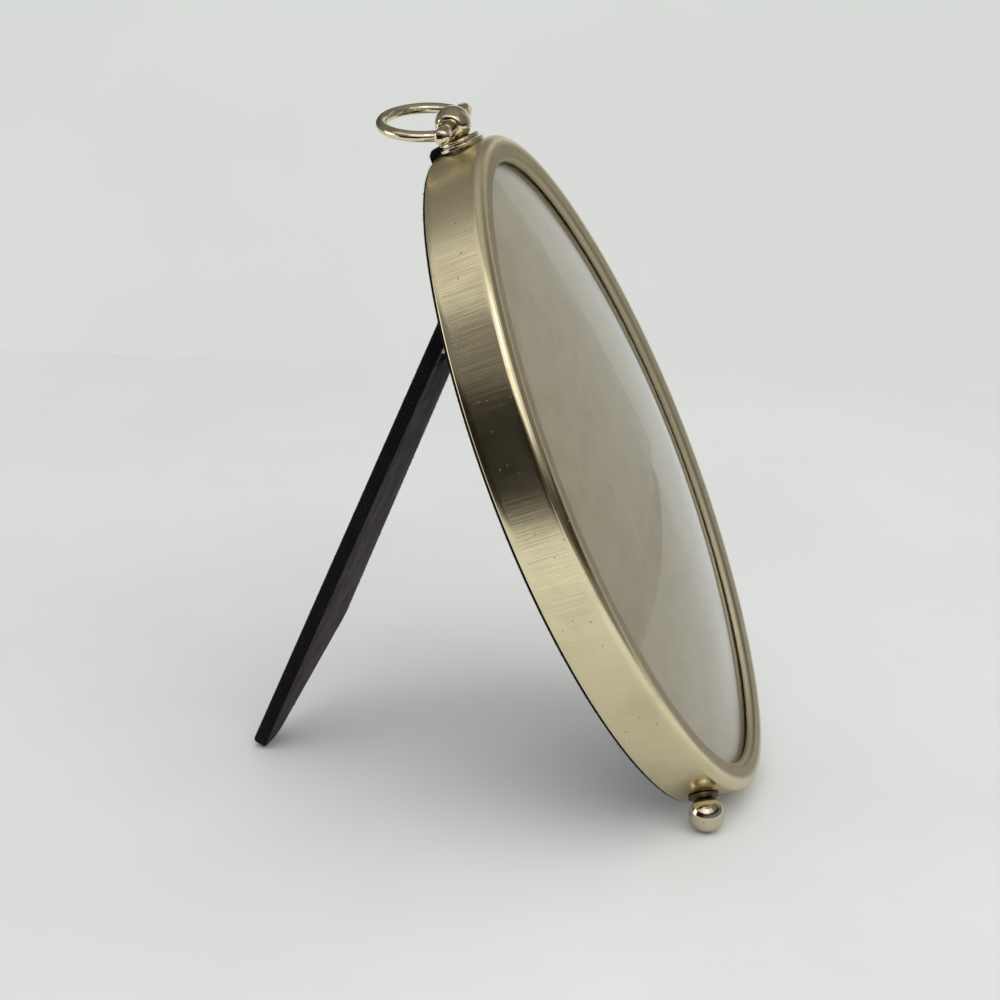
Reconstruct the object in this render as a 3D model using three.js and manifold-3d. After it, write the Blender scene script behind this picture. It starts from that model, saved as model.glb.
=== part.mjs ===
// Oval table frame with convex glass: a pressed brass rim, a hanging bail on top, two ball feet below,
// and a velvet back with a folding leg. Millimetres, +Z up, the picture faces -Y.
import * as THREE from "three";
import { mergeVertices } from "three/addons/utils/BufferGeometryUtils.js";
import Module from "manifold-3d";

const wasm = await Module();
wasm.setup();

// Driving dimensions of the oval rim, measured in its own plane
const ovalHalfWidth = 44.4;
const ovalHalfHeight = 76.4;
const ovalPinch = 0.018; // how far the oval is drawn in between its four ends, as a share
const ovalSteps = 72;
const rimDepth = 13.3;
const rimSheet = 0.8;
const lipWidth = 6.1;
const leanDegrees = 23.7;

// Layers inside the rim: how far each edge lies inside the rim's outer face, and each layer's depths
const airGap = 0.1;
const glassInset = 4.3;
const glassSeat = 9.3; // height of the glass's rear edge above the rim's rear edge
const glassThickness = 1.8;
const glassCrown = 6.5;
const glassRings = 6;
const boardInset = 4.8;
const cardThickness = 0.6;
const fillerSheets = ["rear", "middle", "front"];
const backInset = 1.2;
const backThickness = 2;
const backRear = 0;
const velvetInset = 0.6;
const velvetThickness = 0.4;
const backTab = { width: 5, tail: 6, rise: 1.7, rear: 1, reach: 0.6, thickness: 0.6 };

// Bail: ball knob on a threaded stud, two washers, a pin across the ball and a ring on the pin
const attachDepth = 5.8; // height of the studs above the rim's rear edge
const studRadius = 1.5;
const studHoleRadius = 1.8;
const washers = [
  { name: "bail_washer_lower", radius: 5, thickness: 0.8 },
  { name: "bail_washer_upper", radius: 4.4, thickness: 1 },
];
const knobRadius = 3.85;
const knobSeat = 0.8; // how much of the ball is cut off where it sits on the washers
const knobFlat = 2.9; // each side of the ball is cut flat this far from its middle
const pinRadius = 0.75;
const pinBoreRadius = 0.85;
const pinReach = 7.3;
const ringRadius = 9.35;
const ringWireRadius = 1.2;
const ringOffset = 5.9; // centre of the ring from the pin
const ringRiseDegrees = 0.9; // how far the ring stands above level behind the frame
const pinTiltDegrees = 8.2; // the knob's cross hole is askew, so the ring's right side stands higher
const ringHub = { radius: 1.65, inner: 3.15, outer: 9.3, dome: 0.9 };
const ringSteps = 36;

// Feet and the nuts on every stud
const footRadius = 3.9;
const footSeat = 0.25; // how much of each ball is cut off where it sits on its washer
const footAcross = 15.2; // where each foot stands on the oval, from the middle
const footWasher = { radius: 3.5, thickness: 0.5 };
const nutAcrossFlats = 5.5;
const nutThickness = 2.2;
const nutBoreRadius = 1.6;
const nutClearance = 0.4; // room for the band's curve under the flat nut

// Folding leg and its hinge on the back
const hingeHeight = 49.3; // hinge axis above the middle of the oval
const hingeRise = 2.7; // hinge axis behind the velvet
const hingePinRadius = 0.75;
const hingeBoreRadius = 0.85;
const knuckleRadius = 1.7;
const hingePlate = { width: 12, below: 17, above: 2.5, thickness: 0.7, knuckle: 5.2 };
const hingeRivets = { across: 3.2, below: 11, shank: 0.8, head: 1.5, headThickness: 0.45 };
const legOpenDegrees = 47.6;
const legNearEdge = -10;
const legTopFarEdge = 9.5;
const legWideEdge = 16;
const legWideAt = 97; // distance from the hinge axis where the leg is widest
const legTipFarEdge = -1;
const legCorner = 2.5;
const legTopGap = 2.3; // the covered board starts this far below the hinge axis
const legNotch = { halfWidth: 6, depth: 18.5 };
const legFrontSide = -1.4; // front face of the leg from the hinge axis
const legThickness = 2.75;
const legWrap = 0.6; // velvet thickness on the leg
const liningThickness = 0.35;
const legEye = { offset: 7.75, width: 3.1, heel: 1.25, reach: 15, thickness: 0.5, rivetAt: 11 };
const legRivet = { shank: 0.7, head: 1.3, headThickness: 0.25 };

const finishes = {
  brushedBrass: { color: 0xb5a56c, roughness: 0.38, metalness: 1 },
  polishedBrass: { color: 0xcdbb86, roughness: 0.14, metalness: 1 },
  steel: { color: 0x9a9a98, roughness: 0.35, metalness: 1 },
  glass: { color: 0xf2f5f2, roughness: 0.04, metalness: 0 },
  card: { color: 0xb9b2a0, roughness: 0.85, metalness: 0 },
  board: { color: 0x8f7a5b, roughness: 0.9, metalness: 0 },
  velvet: { color: 0x101012, roughness: 1, metalness: 0 },
  lining: { color: 0x3b3433, roughness: 0.85, metalness: 0 },
};

// Solids: closed geometry to and from the boolean library
function solidOf(geometry) {
  const bare = geometry.index ? geometry.toNonIndexed() : geometry.clone();
  bare.deleteAttribute("normal");
  bare.deleteAttribute("uv");
  const merged = mergeVertices(bare, 1e-4);
  return new wasm.Manifold(
    new wasm.Mesh({
      numProp: 3,
      vertProperties: merged.getAttribute("position").array,
      triVerts: new Uint32Array(merged.index.array),
    }),
  );
}

function geometryOf(solid) {
  const mesh = solid.getMesh();
  const geometry = new THREE.BufferGeometry();
  geometry.setAttribute("position", new THREE.BufferAttribute(mesh.vertProperties, 3));
  geometry.setIndex(new THREE.BufferAttribute(mesh.triVerts, 1));
  geometry.computeVertexNormals();
  return geometry;
}

function join(...geometries) {
  return geometryOf(geometries.map(solidOf).reduce((sum, next) => sum.add(next)));
}

function cut(geometry, ...tools) {
  return geometryOf(tools.map(solidOf).reduce((rest, tool) => rest.subtract(tool), solidOf(geometry)));
}

function addPart(group, name, geometry, finish) {
  const mesh = new THREE.Mesh(geometry, new THREE.MeshStandardMaterial(finishes[finish]));
  mesh.name = name;
  group.add(mesh);
  return mesh;
}

// Plain turned and flat pieces
const steps = { fine: 24, coarse: 16 };

function rodAlongX(radius, from, to, sides = steps.coarse) {
  const rod = new THREE.CylinderGeometry(radius, radius, to - from, sides);
  return rod.rotateZ(Math.PI / 2).translate((from + to) / 2, 0, 0);
}

function rodAlongY(radius, from, to, sides = steps.coarse) {
  return new THREE.CylinderGeometry(radius, radius, to - from, sides).translate(0, (from + to) / 2, 0);
}

function rodAlongZ(radius, from, to, sides = steps.coarse) {
  return rodAlongY(radius, from, to, sides).rotateX(Math.PI / 2);
}

function block(x0, x1, y0, y1, z0, z1) {
  const box = new THREE.BoxGeometry(x1 - x0, y1 - y0, z1 - z0);
  return box.translate((x0 + x1) / 2, (y0 + y1) / 2, (z0 + z1) / 2);
}

function washerGeometry(radius, bore, thickness) {
  const edge = Math.min(0.25, thickness / 3);
  const profile = [
    new THREE.Vector2(bore, 0),
    new THREE.Vector2(radius - edge, 0),
    new THREE.Vector2(radius, edge),
    new THREE.Vector2(radius, thickness - edge),
    new THREE.Vector2(radius - edge, thickness),
    new THREE.Vector2(bore, thickness),
    new THREE.Vector2(bore, 0),
  ];
  return new THREE.LatheGeometry(profile, steps.fine);
}

function plate(shape, rear, thickness) {
  return new THREE.ExtrudeGeometry(shape, { depth: thickness, bevelEnabled: false, curveSegments: 4 })
    .translate(0, 0, rear);
}

// The oval: a point at an angle, moved inwards along the local normal by an inset
function ovalRaw(angle) {
  const share = 1 - ovalPinch * Math.sin(2 * angle) ** 2;
  return new THREE.Vector2(
    ovalHalfWidth * Math.cos(angle) * share,
    ovalHalfHeight * Math.sin(angle) * share,
  );
}

function ovalNormal(angle) {
  const reach = 1e-4;
  const along = ovalRaw(angle + reach).sub(ovalRaw(angle - reach)).normalize();
  return new THREE.Vector2(along.y, -along.x);
}

function ovalPoint(angle, inset) {
  return ovalRaw(angle).addScaledVector(ovalNormal(angle), -inset);
}

function ovalAngle(step) {
  return (2 * Math.PI * step) / ovalSteps;
}

function ovalShape(inset) {
  const points = [];
  for (let step = 0; step < ovalSteps; step++) points.push(ovalPoint(ovalAngle(step), inset));
  return new THREE.Shape(points);
}

function ovalPlate(inset, rear, thickness) {
  return plate(ovalShape(inset), rear, thickness);
}

// A grid of points that closes on itself both ways, or only round the oval
function closedGrid(rows, columns, pointAt, wrapRows) {
  const positions = [];
  const triangles = [];
  for (let row = 0; row < rows; row++) {
    for (let column = 0; column < columns; column++) positions.push(...pointAt(row, column));
  }
  const lastRow = wrapRows ? rows : rows - 1;
  for (let row = 0; row < lastRow; row++) {
    for (let column = 0; column < columns; column++) {
      const a = row * columns + column;
      const b = row * columns + ((column + 1) % columns);
      const c = ((row + 1) % rows) * columns + column;
      const d = ((row + 1) % rows) * columns + ((column + 1) % columns);
      triangles.push(a, b, d, a, d, c);
    }
  }
  return { positions, triangles };
}

function gridGeometry({ positions, triangles }) {
  const geometry = new THREE.BufferGeometry();
  geometry.setAttribute("position", new THREE.Float32BufferAttribute(positions, 3));
  geometry.setIndex(triangles);
  geometry.computeVertexNormals();
  return geometry;
}

// Rim section as inset and height: rear edge, side band, lip rolled over towards the glass, and back inside
function rimSection() {
  const front = rimDepth;
  const points = [];
  const turn = (centreInset, centreHeight, radius, fromDegrees, toDegrees, count) => {
    for (let i = 0; i <= count; i++) {
      const angle = THREE.MathUtils.degToRad(fromDegrees + ((toDegrees - fromDegrees) * i) / count);
      points.push([centreInset + radius * Math.cos(angle), centreHeight + radius * Math.sin(angle)]);
    }
  };
  const shoulder = 2;
  const edge = 0.4;
  const lipRoll = 1.5;
  turn(edge, edge, edge, 270, 180, 2);
  turn(shoulder, front - shoulder, shoulder, 180, 90, 6);
  turn(lipWidth - lipRoll, front - lipRoll, lipRoll, 90, 0, 6);
  turn(lipWidth - lipRoll, front - lipRoll, lipRoll - rimSheet, 0, 90, 3);
  turn(shoulder, front - shoulder, shoulder - rimSheet, 90, 180, 3);
  points.push([rimSheet, 0]);
  return points;
}

function rimShell() {
  const section = rimSection();
  const ring = closedGrid(section.length, ovalSteps, (row, column) => {
    const [inset, height] = section[row];
    const point = ovalPoint(ovalAngle(column), inset);
    return [point.x, point.y, height];
  }, true);
  return gridGeometry(ring);
}

// Domed glass: two domes of the same crown, joined along the edge
function domeHeight(share) {
  return glassCrown * (1 - share * share);
}

function convexGlass() {
  const rings = [];
  for (let ring = 1; ring <= glassRings; ring++) rings.push({ share: ring / glassRings, lift: 0 });
  for (let ring = glassRings; ring >= 1; ring--) {
    rings.push({ share: ring / glassRings, lift: glassThickness });
  }
  const dome = closedGrid(rings.length, ovalSteps, (row, column) => {
    const { share, lift } = rings[row];
    const point = ovalPoint(ovalAngle(column), glassInset).multiplyScalar(share);
    return [point.x, point.y, glassSeat + domeHeight(share) + lift];
  }, false);
  const rearCentre = dome.positions.length / 3;
  const frontCentre = rearCentre + 1;
  dome.positions.push(0, 0, glassSeat + glassCrown, 0, 0, glassSeat + glassCrown + glassThickness);
  const lastRing = (rings.length - 1) * ovalSteps;
  for (let column = 0; column < ovalSteps; column++) {
    const next = (column + 1) % ovalSteps;
    dome.triangles.push(rearCentre, next, column);
    dome.triangles.push(frontCentre, lastRing + column, lastRing + next);
  }
  return gridGeometry(dome);
}

// A stud's place on the band: a group whose +Y points straight out of the rim
function studGroup(frame, angle) {
  const place = ovalPoint(angle, 0);
  const out = ovalNormal(angle);
  const group = new THREE.Group();
  group.position.set(place.x, place.y, attachDepth);
  group.rotation.z = Math.atan2(out.y, out.x) - Math.PI / 2;
  frame.add(group);
  return group;
}

function studHole(angle) {
  const place = ovalPoint(angle, 0);
  const out = ovalNormal(angle);
  return rodAlongY(studHoleRadius, -3, 3)
    .rotateZ(Math.atan2(out.y, out.x) - Math.PI / 2)
    .translate(place.x, place.y, attachDepth);
}

const nutSeat = rimSheet + nutClearance;
const studInside = nutSeat + nutThickness + 0.3;

function nutGeometry() {
  const corner = nutAcrossFlats / Math.sqrt(3);
  const nut = new THREE.CylinderGeometry(corner, corner, nutThickness, 6).rotateY(Math.PI / 2);
  nut.translate(0, -nutSeat - nutThickness / 2, 0);
  return cut(nut, rodAlongY(nutBoreRadius, -studInside - 1, 0));
}

// Angle on the lower half of the oval where its outline is a given distance from the middle
function lowerOvalAngle(across) {
  let low = Math.PI;
  let high = 1.5 * Math.PI;
  for (let i = 0; i < 40; i++) {
    const middle = (low + high) / 2;
    if (ovalRaw(middle).x < -across) low = middle;
    else high = middle;
  }
  return low;
}

const topAngle = Math.PI / 2;
const leftFootAngle = lowerOvalAngle(footAcross);
const rightFootAngle = 3 * Math.PI - leftFootAngle;
const lean = THREE.MathUtils.degToRad(leanDegrees);
const pinTilt = THREE.MathUtils.degToRad(pinTiltDegrees);

// Rim, glass, picture and fillers
function addRimAndStack(frame) {
  const holes = [topAngle, leftFootAngle, rightFootAngle].map(studHole);
  addPart(frame, "rim_shell", cut(rimShell(), ...holes), "brushedBrass");
  addPart(frame, "convex_glass", convexGlass(), "glass");
  const cardRear = glassSeat - airGap - cardThickness;
  addPart(frame, "picture_card", ovalPlate(boardInset, cardRear, cardThickness), "card");
  const stackRear = backRear + backThickness + airGap;
  const sheetPitch = (cardRear - stackRear) / fillerSheets.length;
  fillerSheets.forEach((place, i) => {
    const sheet = ovalPlate(boardInset, stackRear + i * sheetPitch, sheetPitch - airGap);
    addPart(frame, "filler_board_" + place, sheet, "board");
  });
}

// Back panel with its velvet face
const velvetRear = backRear - airGap - velvetThickness;

function addBack(frame) {
  const rivetHoles = [-1, 1].map((side) =>
    rodAlongZ(hingeRivets.shank + 0.3, velvetRear - 3, backRear + backThickness - 0.6)
      .translate(side * hingeRivets.across, hingeHeight - hingeRivets.below, 0));
  const board = ovalPlate(backInset, backRear, backThickness);
  const velvet = ovalPlate(velvetInset, velvetRear, velvetThickness);
  addPart(frame, "back_board", cut(board, ...rivetHoles), "board");
  addPart(frame, "back_velvet", cut(velvet, ...rivetHoles), "velvet");
}

// Velvet pull tab at the top of the back, folded over the rim's rear edge behind the bail
function addBackTab(frame) {
  const rear = velvetRear - airGap;
  const top = ovalHalfHeight + 0.2;
  const profile = [
    [rear, top - backTab.tail],
    [rear, top],
    [backTab.reach, top],
    [backTab.reach, top + backTab.rise - 0.4],
    [backTab.reach - 0.2, top + backTab.rise],
    [rear - backTab.thickness, top + backTab.rear],
    [rear - backTab.thickness, top - backTab.tail],
  ];
  const shape = new THREE.Shape(profile.map(([depth, height]) => new THREE.Vector2(depth, height)));
  const tab = plate(shape, -backTab.width / 2, backTab.width).rotateY(-Math.PI / 2);
  addPart(frame, "back_tab", tab, "velvet");
}

// Fixed half of the hinge, in a group whose origin is the hinge axis and whose +Z points to the front
function addHinge(frame) {
  const hinge = new THREE.Group();
  hinge.position.set(0, hingeHeight, velvetRear - hingeRise);
  frame.add(hinge);
  const plateFront = hingeRise - airGap;
  const plateRear = plateFront - hingePlate.thickness;
  const half = hingePlate.width / 2;
  const leaf = block(-half, half, -hingePlate.below, hingePlate.above, plateRear, plateFront);
  const web = block(-hingePlate.knuckle, hingePlate.knuckle, -1.1, 1.1, 0, plateRear + 0.2);
  const knuckle = rodAlongX(knuckleRadius, -hingePlate.knuckle, hingePlate.knuckle);
  const bore = rodAlongX(hingeBoreRadius, -half, half);
  const holes = [-1, 1].map((side) =>
    rodAlongZ(hingeRivets.shank + 0.3, plateRear - 1, plateFront + 1)
      .translate(side * hingeRivets.across, -hingeRivets.below, 0));
  addPart(hinge, "hinge_plate", cut(join(leaf, web, knuckle), bore, ...holes), "steel");
  const reach = legEye.offset + legEye.width / 2 + 0.4;
  addPart(hinge, "hinge_pin", rodAlongX(hingePinRadius, -reach, reach), "steel");
  [["left", -1], ["right", 1]].forEach(([side, sign]) => {
    const shankFront = hingeRise + velvetThickness + airGap + backThickness - 1;
    const headRear = plateRear - airGap - hingeRivets.headThickness;
    const head = rodAlongZ(hingeRivets.head, headRear, plateRear - airGap);
    const shank = rodAlongZ(hingeRivets.shank, headRear + 0.1, shankFront);
    const rivet = join(head, shank).translate(sign * hingeRivets.across, -hingeRivets.below, 0);
    addPart(hinge, "hinge_rivet_" + side, rivet, "steel");
  });
  return hinge;
}

// The leg stands in a group on the hinge axis, turned open; it hangs along -Y and its front faces +Z
const hingeAxis = new THREE.Vector2(hingeHeight, velvetRear - hingeRise);
const hingeAxisHeight = hingeAxis.x * Math.cos(lean) + hingeAxis.y * Math.sin(lean);
const legLean = THREE.MathUtils.degToRad(legOpenDegrees - leanDegrees);

const footSeatHeight = footWasher.thickness + 1.5 * airGap;
const footCentreHeight = footSeatHeight + footRadius - footSeat;

function footCentre(angle) {
  return ovalPoint(angle, -footCentreHeight);
}

const footHeight = footCentre(leftFootAngle).y * Math.cos(lean) + attachDepth * Math.sin(lean);
const floorHeight = footHeight - footRadius;
const legLength = (hingeAxisHeight - floorHeight + legFrontSide * Math.sin(legLean)) / Math.cos(legLean);

// Leg outline seen from the front: straight on one side, flared on the other, cut back to a narrow tip
function legOutline(inset) {
  const near = legNearEdge + inset;
  const top = -legTopGap - inset;
  const tip = -legLength + inset;
  const notchHalf = legNotch.halfWidth + inset;
  const notchFloor = -legNotch.depth - inset;
  const corner = legCorner - inset;
  const wideY = -legWideAt;
  const wide = legWideEdge - inset;
  const far = legTopFarEdge - inset;
  const tipFar = legTipFarEdge - inset * 0.6;
  const shape = new THREE.Shape();
  shape.moveTo(near, top);
  shape.lineTo(near, tip + corner);
  shape.quadraticCurveTo(near, tip, near + corner, tip);
  shape.lineTo(tipFar - corner, tip);
  shape.quadraticCurveTo(tipFar, tip, tipFar + corner * 0.7, tip + corner);
  shape.lineTo(wide - corner, wideY - corner * 1.2);
  shape.quadraticCurveTo(wide, wideY, wide - 0.2, wideY + corner);
  shape.lineTo(far, top);
  shape.lineTo(notchHalf, top);
  shape.lineTo(notchHalf, notchFloor);
  shape.lineTo(-notchHalf, notchFloor);
  shape.lineTo(-notchHalf, top);
  shape.closePath();
  return shape;
}

function addLeg(hinge) {
  const leg = new THREE.Group();
  leg.rotation.x = THREE.MathUtils.degToRad(legOpenDegrees);
  hinge.add(leg);
  const front = -legFrontSide;
  const rear = front - legThickness;
  const liningRear = front - liningThickness;
  const boardRear = rear + legWrap + airGap;
  const boardThickness = liningRear - airGap - boardRear;
  const rivetHole = (sign) => rodAlongZ(legRivet.shank + 0.3, boardRear - airGap, front + 2)
    .translate(sign * legEye.offset, -legEye.rivetAt, 0);
  const holes = [rivetHole(-1), rivetHole(1)];
  const pocket = plate(legOutline(legWrap), rear + legWrap, legThickness);
  addPart(leg, "leg_velvet", cut(plate(legOutline(0), rear, legThickness), pocket), "velvet");
  const board = plate(legOutline(legWrap + airGap), boardRear, boardThickness);
  addPart(leg, "leg_board", cut(board, ...holes), "board");
  const lining = plate(legOutline(legWrap + airGap), liningRear, liningThickness);
  addPart(leg, "leg_lining", cut(lining, ...holes), "lining");
  addLegEye(leg, "left", -legEye.offset, front, boardRear);
  addLegEye(leg, "right", legEye.offset, front, boardRear);
}

// Each eye: a rolled barrel on the hinge pin, a strap down the leg's front, and a heel above as the stop
function addLegEye(leg, side, across, front, boardRear) {
  const half = legEye.width / 2;
  const strapRear = front + airGap;
  const strapFront = strapRear + legEye.thickness;
  const barrel = rodAlongX(knuckleRadius, -half, half);
  const strap = block(-half, half, -legEye.reach, legEye.heel, strapRear, strapFront);
  const bore = rodAlongX(hingeBoreRadius, -half - 1, half + 1);
  const hole = rodAlongZ(legRivet.shank + 0.3, strapRear - 1, strapFront + 1);
  hole.translate(0, -legEye.rivetAt, 0);
  const eye = cut(join(barrel, strap), bore, hole).translate(across, 0, 0);
  addPart(leg, "leg_eye_" + side, eye, "steel");
  const headRear = strapFront + airGap;
  const head = rodAlongZ(legRivet.head, headRear, headRear + legRivet.headThickness);
  const shank = rodAlongZ(legRivet.shank, boardRear + 0.2, headRear + 0.1);
  const rivet = join(head, shank).translate(across, -legEye.rivetAt, 0);
  addPart(leg, "leg_rivet_" + side, rivet, "steel");
}

// Bail on top of the rim
function addBail(frame) {
  const bail = studGroup(frame, topAngle);
  let height = airGap;
  washers.forEach(({ name, radius, thickness }) => {
    const washer = washerGeometry(radius, studHoleRadius, thickness).translate(0, height, 0);
    addPart(bail, name, washer, "polishedBrass");
    height += thickness + airGap;
  });
  const knobHeight = height + knobRadius - knobSeat;
  const ball = new THREE.SphereGeometry(knobRadius, steps.fine, steps.coarse).translate(0, knobHeight, 0);
  const foot = block(-5, 5, height - 5, height, -5, 5);
  const sides = [block(-9, -knobFlat, -9, 9, -9, 9), block(knobFlat, 9, -9, 9, -9, 9)];
  const bore = rodAlongX(pinBoreRadius, -6, 6);
  [bore, ...sides].forEach((tool) => tool.rotateZ(pinTilt).translate(0, knobHeight, 0));
  const stud = rodAlongY(studRadius, -studInside, height + 1);
  addPart(bail, "bail_post", cut(join(cut(ball, foot, ...sides), stud), bore), "polishedBrass");
  addPart(bail, "bail_nut", nutGeometry(), "steel");
  const pinGroup = new THREE.Group();
  pinGroup.position.y = knobHeight;
  pinGroup.rotation.z = pinTilt;
  bail.add(pinGroup);
  addPart(pinGroup, "bail_pin", rodAlongX(pinRadius, -pinReach, pinReach), "steel");
  addBailRing(pinGroup);
}

// Ring of round wire, open at the knob, with a domed hub on the pin at each end; it lies back, level
function addBailRing(pinGroup) {
  const group = new THREE.Group();
  group.rotation.x = lean - Math.PI / 2 + THREE.MathUtils.degToRad(ringRiseDegrees);
  pinGroup.add(group);
  const endAngle = Math.acos(ringOffset / ringRadius);
  const points = [];
  for (let i = 0; i <= ringSteps; i++) {
    const angle = endAngle - Math.PI / 2 + ((2 * Math.PI - 2 * endAngle) * i) / ringSteps;
    points.push(new THREE.Vector3(
      ringRadius * Math.cos(angle), ringOffset + ringRadius * Math.sin(angle), 0));
  }
  const wire = new THREE.ExtrudeGeometry(
    new THREE.Shape().absarc(0, 0, ringWireRadius, 0, 2 * Math.PI),
    { steps: ringSteps, extrudePath: new THREE.CatmullRomCurve3(points), curveSegments: 6 },
  );
  const bore = rodAlongX(pinBoreRadius, -pinReach - airGap, pinReach + airGap);
  const ring = cut(join(wire, ringHubGeometry(-1), ringHubGeometry(1)), bore);
  addPart(group, "bail_ring", ring, "polishedBrass");
}

function ringHubGeometry(sign) {
  const { radius, inner, outer, dome } = ringHub;
  const profile = [new THREE.Vector2(0, inner), new THREE.Vector2(radius, inner)];
  for (let i = 0; i <= 5; i++) {
    const angle = (Math.PI / 2) * (i / 5);
    profile.push(new THREE.Vector2(radius * Math.cos(angle), outer - dome + dome * Math.sin(angle)));
  }
  return new THREE.LatheGeometry(profile, steps.coarse).rotateZ(-sign * Math.PI / 2);
}

// Two ball feet
function addFeet(frame) {
  [["left", leftFootAngle], ["right", rightFootAngle]].forEach(([side, angle]) => {
    const foot = studGroup(frame, angle);
    const { radius, thickness } = footWasher;
    const washer = washerGeometry(radius, studHoleRadius, thickness).translate(0, airGap / 2, 0);
    addPart(foot, "foot_washer_" + side, washer, "polishedBrass");
    const centre = footCentreHeight;
    const ball = new THREE.SphereGeometry(footRadius, steps.fine, steps.coarse).translate(0, centre, 0);
    const seat = block(-5, 5, footSeatHeight - 5, footSeatHeight, -5, 5);
    const stud = rodAlongY(studRadius, -studInside, centre);
    addPart(foot, "foot_ball_" + side, join(cut(ball, seat), stud), "polishedBrass");
    addPart(foot, "foot_nut_" + side, nutGeometry(), "steel");
  });
}

// The whole frame is built upright in its own plane, leaned back, and set on the floor
const assembly = new THREE.Group();
const frame = new THREE.Group();
frame.rotation.x = Math.PI / 2 - lean;
assembly.add(frame);
addRimAndStack(frame);
addBack(frame);
addBackTab(frame);
addLeg(addHinge(frame));
addBail(frame);
addFeet(frame);

const bounds = new THREE.Box3().setFromObject(assembly, true);
const middle = bounds.getCenter(new THREE.Vector3());
frame.position.set(-middle.x, -middle.y, -floorHeight);

export default assembly;
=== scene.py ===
import random
from math import acos, atan2, cos, degrees, pi, radians, sin, sqrt

import bmesh
import bpy
from mathutils import Matrix, Vector


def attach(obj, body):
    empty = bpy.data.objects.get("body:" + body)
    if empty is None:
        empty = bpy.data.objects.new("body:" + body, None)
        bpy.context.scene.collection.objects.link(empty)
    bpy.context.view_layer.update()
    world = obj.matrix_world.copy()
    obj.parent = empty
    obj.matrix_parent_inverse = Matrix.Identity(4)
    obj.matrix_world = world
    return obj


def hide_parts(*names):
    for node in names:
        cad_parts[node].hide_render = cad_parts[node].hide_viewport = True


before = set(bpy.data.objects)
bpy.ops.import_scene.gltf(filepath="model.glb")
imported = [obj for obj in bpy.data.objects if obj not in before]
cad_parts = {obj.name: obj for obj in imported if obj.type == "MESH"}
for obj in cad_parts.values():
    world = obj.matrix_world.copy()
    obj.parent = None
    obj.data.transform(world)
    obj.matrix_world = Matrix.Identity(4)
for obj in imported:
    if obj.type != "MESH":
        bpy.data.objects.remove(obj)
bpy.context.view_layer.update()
scene = bpy.context.scene
scene.view_settings.view_transform = "Standard"

# where the oval stands: its middle on the rear plane, and how far it leans back
place = {"middle": (0.0, -0.0159620, 0.0699567), "lean": 23.7}


def shift(x, y, z):
    return Matrix.Translation((x, y, z))


def spin(angle, axis):
    return Matrix.Rotation(radians(angle), 4, axis)


# the oval's own millimetres to metres in the row frame
ovalToRow = shift(*place["middle"]) @ spin(90 - place["lean"], "X") @ Matrix.Scale(0.001, 4)

# the oval outline, drawn in a little between its four ends
oval = {"halfWidth": 44.4, "halfHeight": 76.4, "pinch": 0.018, "steps": 288}


def ovalRaw(t):
    share = 1 - oval["pinch"] * sin(2 * t) ** 2
    return Vector((oval["halfWidth"] * cos(t) * share, oval["halfHeight"] * sin(t) * share))


def ovalOut(t):
    along = (ovalRaw(t + 1e-4) - ovalRaw(t - 1e-4)).normalized()
    return Vector((along.y, -along.x))


def ovalPoint(t, inset):
    return ovalRaw(t) - ovalOut(t) * inset


def ovalLoop(inset, steps):
    return [ovalPoint(2 * pi * i / steps, inset) for i in range(steps)]


# points along an arc; one with a rise of its own is flattened
def arcPoints(centre, radius, fromDeg, toDeg, count, rise=None):
    turns = [radians(fromDeg + (toDeg - fromDeg) * i / count) for i in range(count + 1)]
    rise = radius if rise is None else rise
    return [(centre[0] + radius * cos(a), centre[1] + rise * sin(a)) for a in turns]


def addObject(name, data):
    made = bpy.data.objects.new(name, data)
    scene.collection.objects.link(made)
    return made


# mesh making: every piece is made in millimetres and carried into the row frame
def meshPiece(name, points, faces, toRow, sharpDegrees=40, weld=False):
    mesh = bpy.data.meshes.new(name)
    mesh.from_pydata([toRow @ Vector(p) for p in points], [], faces)
    bm = bmesh.new()
    bm.from_mesh(mesh)
    if weld:  # a profile that ends where it began leaves a doubled ring
        bmesh.ops.remove_doubles(bm, verts=bm.verts, dist=1e-7)
    bmesh.ops.recalc_face_normals(bm, faces=bm.faces)
    bm.to_mesh(mesh)
    bm.free()
    mesh.shade_smooth()
    mesh.set_sharp_from_angle(angle=radians(sharpDegrees))
    return addObject(name, mesh)


def finishPiece(piece, slotName, body, *nodes, finish=None):
    setFinish(piece, finish or finishes[slotName])
    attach(piece, body)
    if nodes:
        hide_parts(*nodes)
    return piece


def setFinish(piece, material):
    piece.data.materials.clear()
    piece.data.materials.append(material)


def addPiece(name, shape, toRow, sharpDegrees, slotName, body, *nodes):
    return finishPiece(meshPiece(name, *shape, toRow, sharpDegrees), slotName, body, *nodes)


def markPoints(piece, name, values):
    piece.data.attributes.new(name, "FLOAT", "POINT").data.foreach_set("value", values)


# rows of points joined into a skin; it closes round each row, and over the rows if asked
def skin(rows, closeRows=False, capStart=False, capEnd=False):
    count = len(rows[0])
    points = [p for row in rows for p in row]
    faces = []
    last = len(rows) if closeRows else len(rows) - 1
    for r in range(last):
        a, b = r * count, ((r + 1) % len(rows)) * count
        for c in range(count):
            d = (c + 1) % count
            faces.append((a + c, a + d, b + d, b + c))
    if capStart:
        faces.append(tuple(range(count)))
    if capEnd:
        faces.append(tuple((len(rows) - 1) * count + c for c in range(count)))
    return points, faces


def joined(*parts):
    points, faces = [], []
    for p, f in parts:
        base = len(points)
        points += [Vector(q) for q in p]
        faces += [tuple(base + i for i in face) for face in f]
    return points, faces


def moved(part, matrix):
    return [matrix @ Vector(p) for p in part[0]], part[1]


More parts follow.
